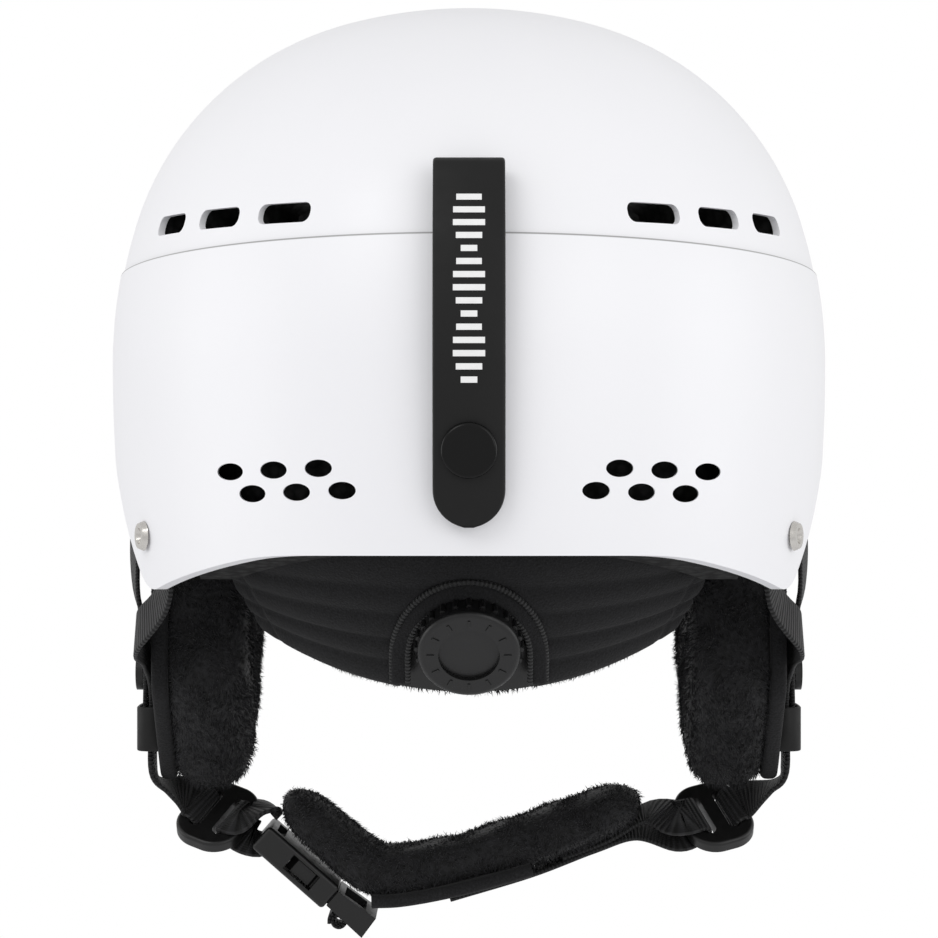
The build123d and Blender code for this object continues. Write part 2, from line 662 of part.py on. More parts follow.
# Plug: flared grip with a webbing slot, shoulders and a middle tongue inside the socket.
with BuildPart() as buckle_plug:
    with BuildSketch(Plane(origin=BUCKLE_ORIGIN, x_dir=BUCKLE_ALONG, z_dir=(0, -1, 0))):
        with BuildLine():
            Polyline((30.4, -2.6), (30.4, 3.2), (45, 4.6), (45.6, -3.0), close=True)
        make_face()
    extrude(amount=12.5, both=True)
    with BuildSketch(buckle_plane.offset(-6)):
        with Locations((36.8, 0)):
            Rectangle(8.2, 17)
    extrude(amount=12, mode=Mode.SUBTRACT)
    with BuildSketch(buckle_plane.offset(-2.3)):
        with Locations((29.4, 0)):
            Rectangle(3.2, 20)
        with Locations((22.6, 0)):
            Rectangle(16.8, 4)
    extrude(amount=4.6)
save(buckle_plug, "buckle_plug")

with BuildPart() as plug_webbing:
    with BuildSketch(Plane(origin=BUCKLE_ORIGIN, x_dir=BUCKLE_ALONG, z_dir=(0, -1, 0))):
        with Locations((36.8, -4.6)):
            Circle(3.8)
            Circle(1.4, mode=Mode.SUBTRACT)
    extrude(amount=WEB_WIDTH / 2, both=True)
save(plug_webbing, "plug_webbing")

# Two spring prongs; pressing them together through the side windows frees the plug.
for side, name in ((-1, "rear"), (1, "front")):
    with BuildPart() as prong:
        with BuildSketch(buckle_plane.offset(-2.2)):
            with BuildLine():
                Polyline((27.4, side * 6.6), (27.4, side * 9.4), (22.4, side * 9.6),
                         (21.6, side * 10.3), (14.4, side * 10.3), (12.4, side * 8.6),
                         (12.4, side * 7.2), close=True)
            make_face()
        extrude(amount=4.4)
    save(prong, f"prong_{name}")
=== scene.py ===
import math

import bpy
import numpy as np
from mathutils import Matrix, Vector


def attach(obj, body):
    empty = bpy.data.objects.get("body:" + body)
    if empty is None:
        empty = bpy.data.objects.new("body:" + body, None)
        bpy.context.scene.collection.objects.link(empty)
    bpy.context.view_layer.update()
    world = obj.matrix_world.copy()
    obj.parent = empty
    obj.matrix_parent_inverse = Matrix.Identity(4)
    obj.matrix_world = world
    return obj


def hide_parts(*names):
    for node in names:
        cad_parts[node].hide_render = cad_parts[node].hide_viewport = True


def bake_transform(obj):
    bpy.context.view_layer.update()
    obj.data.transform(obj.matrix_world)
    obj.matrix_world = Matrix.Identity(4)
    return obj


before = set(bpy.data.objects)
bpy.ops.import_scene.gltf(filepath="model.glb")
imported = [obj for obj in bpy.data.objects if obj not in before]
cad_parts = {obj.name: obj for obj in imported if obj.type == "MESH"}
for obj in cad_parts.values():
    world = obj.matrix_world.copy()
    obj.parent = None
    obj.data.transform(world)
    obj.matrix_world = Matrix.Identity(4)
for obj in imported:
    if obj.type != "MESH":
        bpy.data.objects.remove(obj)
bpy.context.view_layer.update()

MM = 0.001
SIDES = ((-1, "left"), (1, "right"))

# Neck cradle, millimetres: the surface turns about a vertical axis at y = NECK_AXIS_Y
NECK_AXIS_Y, NECK_TOP, NECK_KNEE, NECK_TOE = -20.0, -12.0, -24.0, -66.0
NECK_TAPER, NECK_EDGE_RADIUS, NECK_HALF_ANGLE = 27.0, 125.0, 70.0
NOTCH_CENTRE_Z, BINDING_HALF = -55.2, 23.0
QUILT_LINES = (0.0, 0.20, 0.417, 0.569, 0.722, 0.85, 1.0)   # shares of the pad's height
END_SEAM_ANGLE = 61.0

SEAM_Z, SEAM_SLOPE = 59.5, 0.045          # parting line of the two shells

# Dome of the shell: arcs of a quarter outline, as in a front view, and its length to width
HALF_WIDTH, EQUATOR_Z, LENGTH_RATIO = 113.0, 33.0, 136 / 113
TUCK_RADIUS, CROWN_RADIUS, SHOULDER_RADIUS = 520.0, 150.0, 93.8
CROWN_CENTRE_Z, SHOULDER_X, SHOULDER_Z = -4.0, 16.7, 49.7
CROWN_SWEEP = math.radians(17.3)
PAD_OUTER_INSET, PAD_INNER_INSET = 21.4, 28.0

EAR_OUTLINE = [(-18, 18), (34, 18), (44, -20), (38, -70), (0, -105), (-34, -70), (-34, -30)]
EAR_INNER_X, EAR_PAD_X, EAR_COVER_X, EAR_OUTER_X = 69.0, 94.0, 94.3, 99.0
WEB_WIDTH, WEB_THICKNESS = 15.0, 1.5
CHIN_Y = 6.0                               # middle of the chin strap, front to back

# Buckle, seen from behind as (x, z): where the socket starts, along it and off its face
BUCKLE_START, BUCKLE_ALONG, BUCKLE_UP = (-66.5, -117.0), (0.7507, -0.6606), (0.6606, 0.7507)
ROLL_ALONG, ROLL_BELOW = 36.8, 4.6         # the rolled webbing end below the plug

SHARP_ANGLE = math.radians(28)             # edges of CAD pieces sharper than this stay crisp


# ---------------------------------------------------------------- camera, light and floor
def make_camera():
    data = bpy.data.cameras.new("camera")
    data.lens, data.sensor_width = 113.7, 36.0
    camera = bpy.data.objects.new("camera", data)
    camera.location = (0, -0.95, 0)
    camera.rotation_euler = (math.radians(90), 0, 0)
    bpy.context.collection.objects.link(camera)
    bpy.context.scene.camera = camera


def area_light(name, place, target, size, power):
    data = bpy.data.lights.new(name, "AREA")
    data.size, data.energy = size, power
    light = bpy.data.objects.new(name, data)
    light.location = place
    direction = np.array(target, float) - np.array(place, float)
    light.rotation_euler = Vector(direction).to_track_quat("-Z", "Y").to_euler()
    bpy.context.collection.objects.link(light)


def make_studio():
    world = bpy.data.worlds.new("studio")
    world.use_nodes = True
    nodes, links = world.node_tree.nodes, world.node_tree.links
    nodes["Background"].inputs["Color"].default_value = (1, 1, 1, 1)
    seen = nodes.new("ShaderNodeLightPath")
    strength = nodes.new("ShaderNodeMapRange")   # soft white light, and a white backdrop
    strength.inputs["To Min"].default_value = 0.76
    strength.inputs["To Max"].default_value = 1.0
    links.new(seen.outputs["Is Camera Ray"], strength.inputs["Value"])
    links.new(strength.outputs["Result"], nodes["Background"].inputs["Strength"])
    bpy.context.scene.world = world
    bpy.context.scene.view_settings.view_transform = "Standard"
    area_light("key", (-0.7, -1.1, 0.9), (0, 0, 0), 0.7, 4.2)
    area_light("fill", (0.8, -1.1, 0.3), (0, 0, 0), 0.8, 2.6)
    area_light("left_side", (-1.3, -0.1, 0.1), (0, 0, 0), 0.8, 2.6)
    area_light("right_side", (1.3, -0.1, 0.1), (0, 0, 0), 0.8, 2.6)
    mesh = bpy.data.meshes.new("floor")
    rim = [(3.2 * math.cos(a), 3.2 * math.sin(a), -0.75) for a in np.linspace(0, 2 * math.pi, 65)[:-1]]
    mesh.from_pydata(rim, [], [list(range(64))])
    floor = bpy.data.objects.new("floor", mesh)
    floor.data.materials.append(plain_material("floor_pale", (0.88, 0.88, 0.89), 0.9, 0.3, 0.01))
    bpy.context.collection.objects.link(floor)


# ---------------------------------------------------------------- materials
class Shader:
    """A Principled material with short ways to add colour variation and bump."""

    def __init__(self, name, color, roughness, specular=0.5):
        self.material = bpy.data.materials.new(name)
        self.material.use_nodes = True
        self.nodes = self.material.node_tree.nodes
        self.links = self.material.node_tree.links
        self.bsdf = self.nodes["Principled BSDF"]
        self.bsdf.inputs["Base Color"].default_value = (*color, 1)
        self.bsdf.inputs["Roughness"].default_value = roughness
        self.bsdf.inputs["Specular IOR Level"].default_value = specular
        self.coordinates = self.nodes.new("ShaderNodeTexCoord")
        self.bump = None

    def texture(self, kind, scale, uv=False, **settings):
        node = self.nodes.new(kind)
        for key, value in settings.items():
            if key in node.inputs:
                node.inputs[key].default_value = value
            else:
                setattr(node, key, value)
        node.inputs["Scale"].default_value = scale
        self.links.new(self.coordinates.outputs["UV" if uv else "Object"], node.inputs["Vector"])
        return node

    def vary(self, factor, low, high, socket="Base Color"):
        """Blend a socket between two values by a texture output."""
        ramp = self.nodes.new("ShaderNodeValToRGB")
        ramp.color_ramp.elements[0].position, ramp.color_ramp.elements[1].position = 0.3, 0.7
        ramp.color_ramp.elements[0].color = (*low, 1)
        ramp.color_ramp.elements[1].color = (*high, 1)
        self.links.new(factor, ramp.inputs["Fac"])
        self.links.new(ramp.outputs["Color"], self.bsdf.inputs[socket])

    def math(self, operation, first, second=0.0):
        node = self.nodes.new("ShaderNodeMath")
        node.operation = operation
        for socket, value in zip(node.inputs, (first, second)):
            if isinstance(value, (int, float)):
                socket.default_value = value
            else:
                self.links.new(value, socket)
        return node.outputs["Value"]

    def paint_shadow_line(self, height_at_origin, slope, half_width, dark):
        """Painted shadow line: darken the colour in a thin band where the surface meets a plane that
        climbs towards the back.
        """
        place = self.nodes.new("ShaderNodeSeparateXYZ")
        self.links.new(self.coordinates.outputs["Object"], place.inputs["Vector"])
        plane = self.math("ADD", place.outputs["Z"], self.math("MULTIPLY", place.outputs["Y"], slope))
        away = self.math("ABSOLUTE", self.math("SUBTRACT", plane, height_at_origin))
        near = self.nodes.new("ShaderNodeMapRange")
        near.interpolation_type = "SMOOTHSTEP"
        near.inputs["From Min"].default_value = half_width * 0.35
        near.inputs["From Max"].default_value = half_width
        near.inputs["To Min"].default_value = 1.0
        near.inputs["To Max"].default_value = 0.0
        self.links.new(away, near.inputs["Value"])
        mix = self.nodes.new("ShaderNodeMix")
        mix.data_type = "RGBA"
        mix.inputs[7].default_value = (*dark, 1)
        self.links.new(near.outputs["Result"], mix.inputs[0])
        self.links.new(self.bsdf.inputs["Base Color"].links[0].from_socket, mix.inputs[6])
        self.links.new(mix.outputs[2], self.bsdf.inputs["Base Color"])

    def relief(self, height, distance, strength=1.0):
        """Add a bump layer on top of those before it."""
        bump = self.nodes.new("ShaderNodeBump")
        bump.inputs["Strength"].default_value = strength
        bump.inputs["Distance"].default_value = distance
        self.links.new(height, bump.inputs["Height"])
        if self.bump:
            self.links.new(self.bump.outputs["Normal"], bump.inputs["Normal"])
        self.links.new(bump.outputs["Normal"], self.bsdf.inputs["Normal"])
        self.bump = bump


def grey(value, tint=0.0):
    return (value, value, value * (1 + tint))


def plain_material(name, color, roughness, scale, depth, specular=0.5):
    """Moulded material: slight colour and gloss variation and a fine moulded grain."""
    shader = Shader(name, color, roughness, specular)
    cloud = shader.texture("ShaderNodeTexNoise", scale, Detail=4.0)
    low = tuple(0.94 * channel for channel in color)
    shader.vary(cloud.outputs["Fac"], low, color)
    rough = shader.texture("ShaderNodeTexNoise", scale * 3, Detail=2.0)
    shader.vary(rough.outputs["Fac"], (roughness * 0.9,) * 3, (roughness * 1.1,) * 3, "Roughness")
    grain = shader.texture("ShaderNodeTexNoise", scale * 30, Detail=3.0)
    shader.relief(grain.outputs["Fac"], depth * MM)
    return shader.material


def webbing_material():
    """Ribbed polyester tape; ribs run across it and follow its length."""
    shader = Shader("webbing", grey(0.008), 0.6, 0.3)
    ribs = shader.texture("ShaderNodeTexWave", 250, uv=True, bands_direction="X")
    cords = shader.texture("ShaderNodeTexWave", 330, uv=True, bands_direction="Y")
    shader.vary(ribs.outputs["Fac"], grey(0.003), grey(0.013, 0.08))
    shader.relief(ribs.outputs["Fac"], 0.45 * MM, 0.9)
    shader.relief(cords.outputs["Fac"], 0.12 * MM, 0.5)
    shader.bsdf.inputs["Sheen Weight"].default_value = 0.06
    return shader.material


def cloth_material(name, value):
    """Fine stretch softshell with a speckled weave."""
    shader = Shader(name, grey(value), 0.85, 0.2)
    speck = shader.texture("ShaderNodeTexVoronoi", 1400)
    weave = shader.texture("ShaderNodeTexNoise", 2200, Detail=2.0)
    fold = shader.texture("ShaderNodeTexNoise", 60, Detail=3.0)
    shader.vary(weave.outputs["Fac"], grey(value * 0.55), grey(value * 1.9, 0.1))
    shader.relief(speck.outputs["Distance"], 0.16 * MM, 0.8)
    shader.relief(fold.outputs["Fac"], 1.2 * MM, 0.35)
    shader.bsdf.inputs["Sheen Weight"].default_value = 0.05
    return shader.material


def plush_material(name, value):
    """Pile fabric under and along the fur strands, with clumped tone and painted highlights on the
    fibres.
    """
    shader = Shader(name, grey(value), 0.75, 0.3)
    clumps_and_painted_highlights = shader.texture("ShaderNodeTexNoise", 620, Detail=6.0)
    # the colour spread is partly random tone from clump to clump and partly painted highlight: the
    # brightest spots stand in for light on the fibres
    shader.vary(clumps_and_painted_highlights.outputs["Fac"], grey(value * 0.2), grey(value * 3.6, 0.15))
    shader.relief(clumps_and_painted_highlights.outputs["Fac"], 0.8 * MM, 0.8)
    shader.bsdf.inputs["Sheen Weight"].default_value = 0.1
    return shader.material


def foam_material():
    """Moulded bead foam."""
    shader = Shader("bead_foam", grey(0.02), 0.8, 0.2)
    beads = shader.texture("ShaderNodeTexVoronoi", 330)
    shader.vary(beads.outputs["Distance"], grey(0.026), grey(0.01))
    shader.relief(beads.outputs["Distance"], 0.5 * MM, 0.7)
    return shader.material


def steel_material():
    """Polished steel with fine turning marks."""
    shader = Shader("polished_steel", (0.62, 0.6, 0.57), 0.24)
    shader.bsdf.inputs["Metallic"].default_value = 1.0
    marks = shader.texture("ShaderNodeTexNoise", 900, Detail=4.0)
    shader.vary(marks.outputs["Fac"], (0.2,) * 3, (0.34,) * 3, "Roughness")
    shader.relief(marks.outputs["Fac"], 0.03 * MM)
    return shader.material


def shell_material():
    """Satin white paint on moulded plastic, with a very fine orange-peel surface and a painted shadow
    line along the parting line of the two shells.
    """
    shader = Shader("satin_white", (0.86, 0.86, 0.885), 0.42, 0.45)
    shade = shader.texture("ShaderNodeTexNoise", 9, Detail=3.0)
    shader.vary(shade.outputs["Fac"], (0.845, 0.845, 0.872), (0.87, 0.87, 0.893))
    gloss = shader.texture("ShaderNodeTexNoise", 30, Detail=5.0)
    shader.vary(gloss.outputs["Fac"], (0.37,) * 3, (0.46,) * 3, "Roughness")
    peel = shader.texture("ShaderNodeTexNoise", 1300, Detail=2.0)
    shader.relief(peel.outputs["Fac"], 0.035 * MM, 0.6)
    shader.bsdf.inputs["Coat Weight"].default_value = 0.12
    shader.bsdf.inputs["Coat Roughness"].default_value = 0.3
    # painted shadow: a thin dark grey line along the parting line stands in for the shade in the step
    # between the two shells
    shader.paint_shadow_line(SEAM_Z * MM, SEAM_SLOPE, 0.42 * MM, grey(0.34))
    return shader.material


# ---------------------------------------------------------------- mesh helpers
def mesh_object(name, points, faces, material, uvs=None, smooth=True):
    """Link a mesh given in millimetres; uvs holds one pair for each vertex."""
    mesh = bpy.data.meshes.new(name)
    mesh.from_pydata((np.asarray(points, float) * MM).tolist(), [], faces)
    mesh.validate()
    if smooth:
        mesh.shade_smooth()
    else:
        mesh.shade_flat()
    if uvs is not None:
        layer = mesh.uv_layers.new(name="UVMap")
        index = np.empty(len(mesh.loops), int)
        mesh.loops.foreach_get("vertex_index", index)
        layer.data.foreach_set("uv", np.asarray(uvs, float)[index].ravel())
    mesh.materials.append(material)
    piece = bpy.data.objects.new(name, mesh)
    bpy.context.collection.objects.link(piece)
    return piece


def unit(vectors):
    return vectors / np.maximum(np.linalg.norm(vectors, axis=-1, keepdims=True), 1e-9)


def smooth_path(points, steps=8):
    """Catmull-Rom curve through the points."""
    p = np.asarray(points, float)
    p = np.vstack([2 * p[0] - p[1], p, 2 * p[-1] - p[-2]])
    out = []
    for i in range(1, len(p) - 2):
        for t in np.linspace(0, 1, steps, endpoint=False):
            out.append(0.5 * (2 * p[i] + (p[i + 1] - p[i - 1]) * t
                              + (2 * p[i - 1] - 5 * p[i] + 4 * p[i + 1] - p[i + 2]) * t**2
                              + (3 * p[i] - p[i - 1] - 3 * p[i + 1] + p[i + 2]) * t**3))
    out.append(p[-2])
    return np.array(out)


def rounded_section(width, thickness, corner_steps=4):
    """Closed outline of a flat strap's section, as (across, up) pairs."""
    radius = 0.46 * min(width, thickness)
    spots = []
    for cx, cy, start in ((1, 1, 0), (-1, 1, 90), (-1, -1, 180), (1, -1, 270)):
        for angle in np.linspace(start, start + 90, corner_steps):
            spots.append((cx * (width / 2 - radius) + radius * math.cos(math.radians(angle)),
                          cy * (thickness / 2 - radius) + radius * math.sin(math.radians(angle))))
    return np.array(spots)


def tube_faces(rings, around, caps=True):
    faces = [[i * around + j, i * around + (j + 1) % around,
              (i + 1) * around + (j + 1) % around, (i + 1) * around + j]
             for i in range(rings - 1) for j in range(around)]
    if caps:
        faces.append(list(range(around))[::-1])
        faces.append([(rings - 1) * around + j for j in range(around)])
    return faces


def strap(name, stations, material, width=WEB_WIDTH, thickness=WEB_THICKNESS, steps=8, widths=None):
    """Flat strap through (centre, across) stations, with rounded edges."""
    centres = smooth_path([centre for centre, _ in stations], steps)
    across = unit(smooth_path([direction for _, direction in stations], steps))
    along = unit(np.gradient(centres, axis=0))
    up = unit(np.cross(along, across))
    across = unit(np.cross(up, along))
    section = rounded_section(width, thickness)
    scale = np.ones(len(centres)) if widths is None else np.asarray(widths(len(centres)))
    travelled = np.concatenate([[0], np.cumsum(np.linalg.norm(np.diff(centres, axis=0), axis=1))])
    points = (centres[:, None] + across[:, None] * section[None, :, :1] * scale[:, None, None]
              + up[:, None] * section[None, :, 1:]).reshape(-1, 3)
    uvs = [(distance * MM, spot[0] * MM) for distance in travelled for spot in section]
    return mesh_object(name, points, tube_faces(len(centres), len(section)), material, uvs)


def rounded_outline(corners, radius, grow=0.0, steps=7):
    """Closed outline with round corners, as points in the plane, grown outwards."""
    corners = np.asarray(corners, float)
    out = []
    for i, corner in enumerate(corners):
        before, after = unit(corners[i - 1] - corner), unit(corners[(i + 1) % len(corners)] - corner)
        half = math.acos(np.clip(before @ after, -1, 1)) / 2
        cut = radius / math.tan(half)
        first, last = corner + before * cut, corner + after * cut
        for t in np.linspace(0, 1, steps):
            out.append((1 - t) ** 2 * first + 2 * t * (1 - t) * corner + t**2 * last)
    out = np.array(out)
    dense = []
    for i, spot in enumerate(out):
        following = out[(i + 1) % len(out)]
        count = max(1, int(np.linalg.norm(following - spot) // 4))
        dense += [spot + (following - spot) * k / count for k in range(count)]
    out = np.array(dense)
    tangent = unit(np.roll(out, -1, 0) - np.roll(out, 1, 0))
    outward = np.stack([tangent[:, 1], -tangent[:, 0]], 1)
    if np.sum((out - out.mean(0)) * outward) < 0:
        outward = -outward
    return out + outward * grow


def pillow(name, outline, low, high, crown, material, to_space, layers=9):
    """Stuffed pad: the outline pulls in towards both faces, and each face is crowned."""
    middle, half = (low + high) / 2, (high - low) / 2
    centre = outline.mean(0)
    rings = []
    for angle in np.linspace(-90, 90, layers):
        lift = math.copysign(abs(math.sin(math.radians(angle))) ** 0.75, angle)
        pull = crown * (1 - math.cos(math.radians(angle)) ** 0.7)
        reach = np.linalg.norm(outline - centre, axis=1, keepdims=True)
        rings.append((centre + (outline - centre) * (1 - pull / reach), middle + half * 0.86 * lift))
    faces_in = [(0.75, 0.93), (0.5, 0.98), (0.25, 1.0)]
    start = [(centre + (rings[0][0] - centre) * share, middle - half * full)
             for share, full in reversed(faces_in)]
    end = [(centre + (rings[-1][0] - centre) * share, middle + half * full)
           for share, full in faces_in]
    rings = start + rings + end
    points = [to_space(spot, depth) for ring, depth in rings for spot in ring]
    return mesh_object(name, points, tube_faces(len(rings), len(outline)), material)


def evaluated(piece):
    bpy.context.view_layer.update()
    return bpy.data.meshes.new_from_object(piece.evaluated_get(bpy.context.evaluated_depsgraph_get()))


def coordinates(mesh):
    out = np.empty(len(mesh.vertices) * 3)
    mesh.vertices.foreach_get("co", out)
    return out.reshape(-1, 3)


def bake_modifiers(piece):
    material = piece.data.materials[0]
    mesh = evaluated(piece)
    piece.modifiers.clear()
    piece.data = mesh
    if not mesh.materials:
        mesh.materials.append(material)
    mesh.shade_smooth()


def plump(piece, voxel=4.0, cap=3.0, frames=18, slack=-0.03):
    """Blow the pad up as cloth, so that it swells and wrinkles, then keep the result."""
    remesh = piece.modifiers.new("remesh", "REMESH")
    remesh.mode, remesh.voxel_size = "VOXEL", voxel * MM
    bake_modifiers(piece)
    rest = coordinates(piece.data)
    cloth = piece.modifiers.new("cloth", "CLOTH")
    cloth.settings.quality = 5
    cloth.settings.mass = 0.25
    cloth.settings.bending_stiffness = 0.4
    cloth.settings.use_pressure = True
    cloth.settings.uniform_pressure_force = 4
    cloth.settings.shrink_min = slack
    cloth.settings.effector_weights.gravity = 0
    scene = bpy.context.scene
    for step in range(1, frames + 1):
        scene.frame_set(step)
    blown = coordinates(evaluated(piece))
    piece.modifiers.clear()
    scene.frame_set(1)
    move = blown - rest
    size = np.linalg.norm(move, axis=1, keepdims=True)
    move *= np.minimum(1, cap * MM / np.maximum(size, 1e-9))
    piece.data.vertices.foreach_set("co", (rest + move).ravel())
    divide = piece.modifiers.new("divide", "SUBSURF")
    divide.levels = divide.render_levels = 1
    bake_modifiers(piece)


def fur(name, source, per_mm2, length, material, comb=(0, 0, -1), seed=1, keep=None):
    """Short tapered strands over a surface, leaning the way the pile is brushed."""
    rng = np.random.default_rng(seed)
    mesh = evaluated(source)
    mesh.calc_loop_triangles()
    corners = coordinates(mesh)[np.array([t.vertices[:] for t in mesh.loop_triangles])] / MM
    normals = np.cross(corners[:, 1] - corners[:, 0], corners[:, 2] - corners[:, 0])
    areas = np.linalg.norm(normals, axis=1) / 2
    count = int(areas.sum() * per_mm2)
    pick = rng.choice(len(areas), count, p=areas / areas.sum())
    a, b = rng.random(count), rng.random(count)
    flip = a + b > 1
    a[flip], b[flip] = 1 - a[flip], 1 - b[flip]
    tri = corners[pick]
    root = tri[:, 0] + (tri[:, 1] - tri[:, 0]) * a[:, None] + (tri[:, 2] - tri[:, 0]) * b[:, None]
    normal = unit(normals[pick])
    if keep is not None:
        chosen = keep(root)
        root, normal = root[chosen], normal[chosen]
        count = len(root)
    swirl = np.stack([np.sin(root @ k) for k in ((0.31, 0.17, 0.23), (-0.2, 0.33, 0.27),
                                                 (0.24, -0.29, 0.35))], 1)
    lean = np.array(comb) * 0.7 + swirl * 0.45 + rng.normal(0, 0.28, (count, 3))
    first = unit(normal * 0.6 + lean * 0.75)
    second = unit(normal * 0.1 + lean)
    size = length * rng.uniform(0.6, 1.15, (count, 1))
    side = unit(np.cross(first, rng.normal(0, 1, (count, 3)))) * 0.16
    base = root - normal * 0.4
    middle = base + first * size * 0.55
    tip = middle + second * size * 0.5
    points = np.stack([base - side, base + side, middle + side * 0.8, middle - side * 0.8, tip], 1)
    starts = np.arange(count) * 5
    faces = [f for s in starts.tolist() for f in ((s, s + 1, s + 2, s + 3), (s + 3, s + 2, s + 4))]
    return mesh_object(name, points.reshape(-1, 3), faces, material)


def stitches(name, lines, material, length=1.9, gap=1.3, width=0.42):
    """Small raised thread dashes along lines of (point, outward) pairs."""
    points, faces = [], []
    for line, outward in lines:
        line, outward = np.asarray(line, float), np.asarray(outward, float)
        travelled = np.concatenate([[0], np.cumsum(np.linalg.norm(np.diff(line, axis=0), axis=1))])
        for start in np.arange(0, travelled[-1] - length, length + gap):
            ends = [np.array([np.interp(start + d, travelled, line[:, k]) for k in range(3)])
                    for d in (0, length / 2, length)]
            up = unit(np.array([np.interp(start, travelled, outward[:, k]) for k in range(3)]))
            side = unit(np.cross(ends[2] - ends[0], up)) * width / 2
            first = len(points)
            for spot, rise, wide in zip(ends, (-0.1, 0.34, -0.1), (0.5, 1.0, 0.5)):
                points += [spot - side * wide - up * 0.2, spot + side * wide - up * 0.2,
                           spot + up * rise]
            faces += [[first + i, first + (i + 1) % 3, first + 3 + (i + 1) % 3, first + 3 + i]
                      for i in range(3)]
            faces += [[first + 3 + i, first + 3 + (i + 1) % 3, first + 6 + (i + 1) % 3, first + 6 + i]
                      for i in range(3)]
            faces += [[first, first + 2, first + 1], [first + 6, first + 7, first + 8]]
    return mesh_object(name, points, faces, material)


# ---------------------------------------------------------------- neck cradle
def cradle_radius(z, radius):
    return radius - NECK_TAPER * max(NECK_KNEE - z, 0) / (NECK_KNEE - NECK_TOE)


def cradle_point(angle, z, radius):
    reach = cradle_radius(z, radius)
    return np.array([reach * math.sin(angle), NECK_AXIS_Y - reach * math.cos(angle), z])


def cradle_edge(angle, radius):
    """Height of the pad's lower edge at an angle from straight back."""
    z = NECK_TOE
    for _ in range(12):
        x = cradle_radius(z, radius) * math.sin(angle)
        z = NECK_TOE + NECK_EDGE_RADIUS - math.sqrt(NECK_EDGE_RADIUS**2 - x**2)
    return z


def outward_at(angle, z):
    tilt = math.atan2(NECK_TAPER, NECK_KNEE - NECK_TOE) if z < NECK_KNEE else 0
    return np.array([math.sin(angle) * math.cos(tilt), -math.cos(angle) * math.cos(tilt),
                     -math.sin(tilt)])


def quilt_rise(share, angle):
    """How far the quilted fabric stands up: down to nothing at each stitch line."""
    for low, high in zip(QUILT_LINES, QUILT_LINES[1:]):
        if low <= share <= high:
            rise = math.sin(math.pi * (share - low) / (high - low)) ** 0.55
    seam = min(1, abs(abs(math.degrees(angle)) - END_SEAM_ANGLE) / 1.6)
    edge = min(1, (NECK_HALF_ANGLE - abs(math.degrees(angle))) / 1.2)
    return 1.15 * rise * (0.25 + 0.75 * seam) * edge


def in_notch(x, z, half):
    return abs(x) < half and z < NOTCH_CENTRE_Z or math.hypot(x, z - NOTCH_CENTRE_Z) < half


def cradle_sheet(name, outer, inner, quilted, notched, material, columns=150, rows=54):
    """Closed pad between two radii, as an outer and an inner sheet joined at the rim."""
    angles = np.radians(np.linspace(-NECK_HALF_ANGLE, NECK_HALF_ANGLE, columns + 1))
    sheets = []
    for radius, puff in ((outer - 1.1, quilted), (inner, False)):
        sheet = np.empty((columns + 1, rows + 1, 3))
        for i, angle in enumerate(angles):
            low = cradle_edge(angle, radius)
            for j in range(rows + 1):
                share = j / rows
                z = NECK_TOP + (low - NECK_TOP) * share
                rise = quilt_rise(share, angle) if puff else 0
                sheet[i, j] = cradle_point(angle, z, radius) + outward_at(angle, z) * rise
        sheets.append(sheet)
    points = np.concatenate([sheet.reshape(-1, 3) for sheet in sheets])
    offset = (columns + 1) * (rows + 1)

    def corner(i, j, layer):
        return layer * offset + i * (rows + 1) + j

    kept = np.ones((columns, rows), bool)
    if notched:
        for i in range(columns):
            for j in range(rows):
                spot = (sheets[0][i, j] + sheets[0][i + 1, j + 1]) / 2
                kept[i, j] = not in_notch(spot[0], spot[2], BINDING_HALF - 2)
    faces = []
    for i in range(columns):
        for j in range(rows):
            if not kept[i, j]:
                continue
            faces.append([corner(i, j, 0), corner(i, j + 1, 0), corner(i + 1, j + 1, 0),
                          corner(i + 1, j, 0)])
            faces.append([corner(i, j, 1), corner(i + 1, j, 1), corner(i + 1, j + 1, 1),
                          corner(i, j + 1, 1)])
            walls = (((i - 1, j), (i, j), (i, j + 1)), ((i + 1, j), (i + 1, j + 1), (i + 1, j)),
                     ((i, j - 1), (i + 1, j), (i, j)), ((i, j + 1), (i, j + 1), (i + 1, j + 1)))
            for (ni, nj), a, b in walls:
                if not (0 <= ni < columns and 0 <= nj < rows and kept[ni, nj]):
                    faces.append([corner(*a, 0), corner(*a, 1), corner(*b, 1), corner(*b, 0)])
    piece = mesh_object(name, points, faces, material)
    return piece


def binding_path(half, lift):
    """Route round the notch on the cover's face, with the direction across the binding."""
    spots = [(half, z) for z in np.linspace(-63.2, NOTCH_CENTRE_Z, 4)[:-1]]
    spots += [(half * math.cos(a), NOTCH_CENTRE_Z + half * math.sin(a))
              for a in np.linspace(0, math.pi, 17)]
    spots += [(-half, z) for z in np.linspace(NOTCH_CENTRE_Z, -63.2, 4)[1:]]
    stations = []
    for x, z in spots:
        reach = cradle_radius(z, 84.0 + lift)
        y = NECK_AXIS_Y - math.sqrt(reach**2 - x**2)
        across = np.array([x, 0, max(z - NOTCH_CENTRE_Z, 0)])
        stations.append(((x, y, z), unit(across)))
    return stations


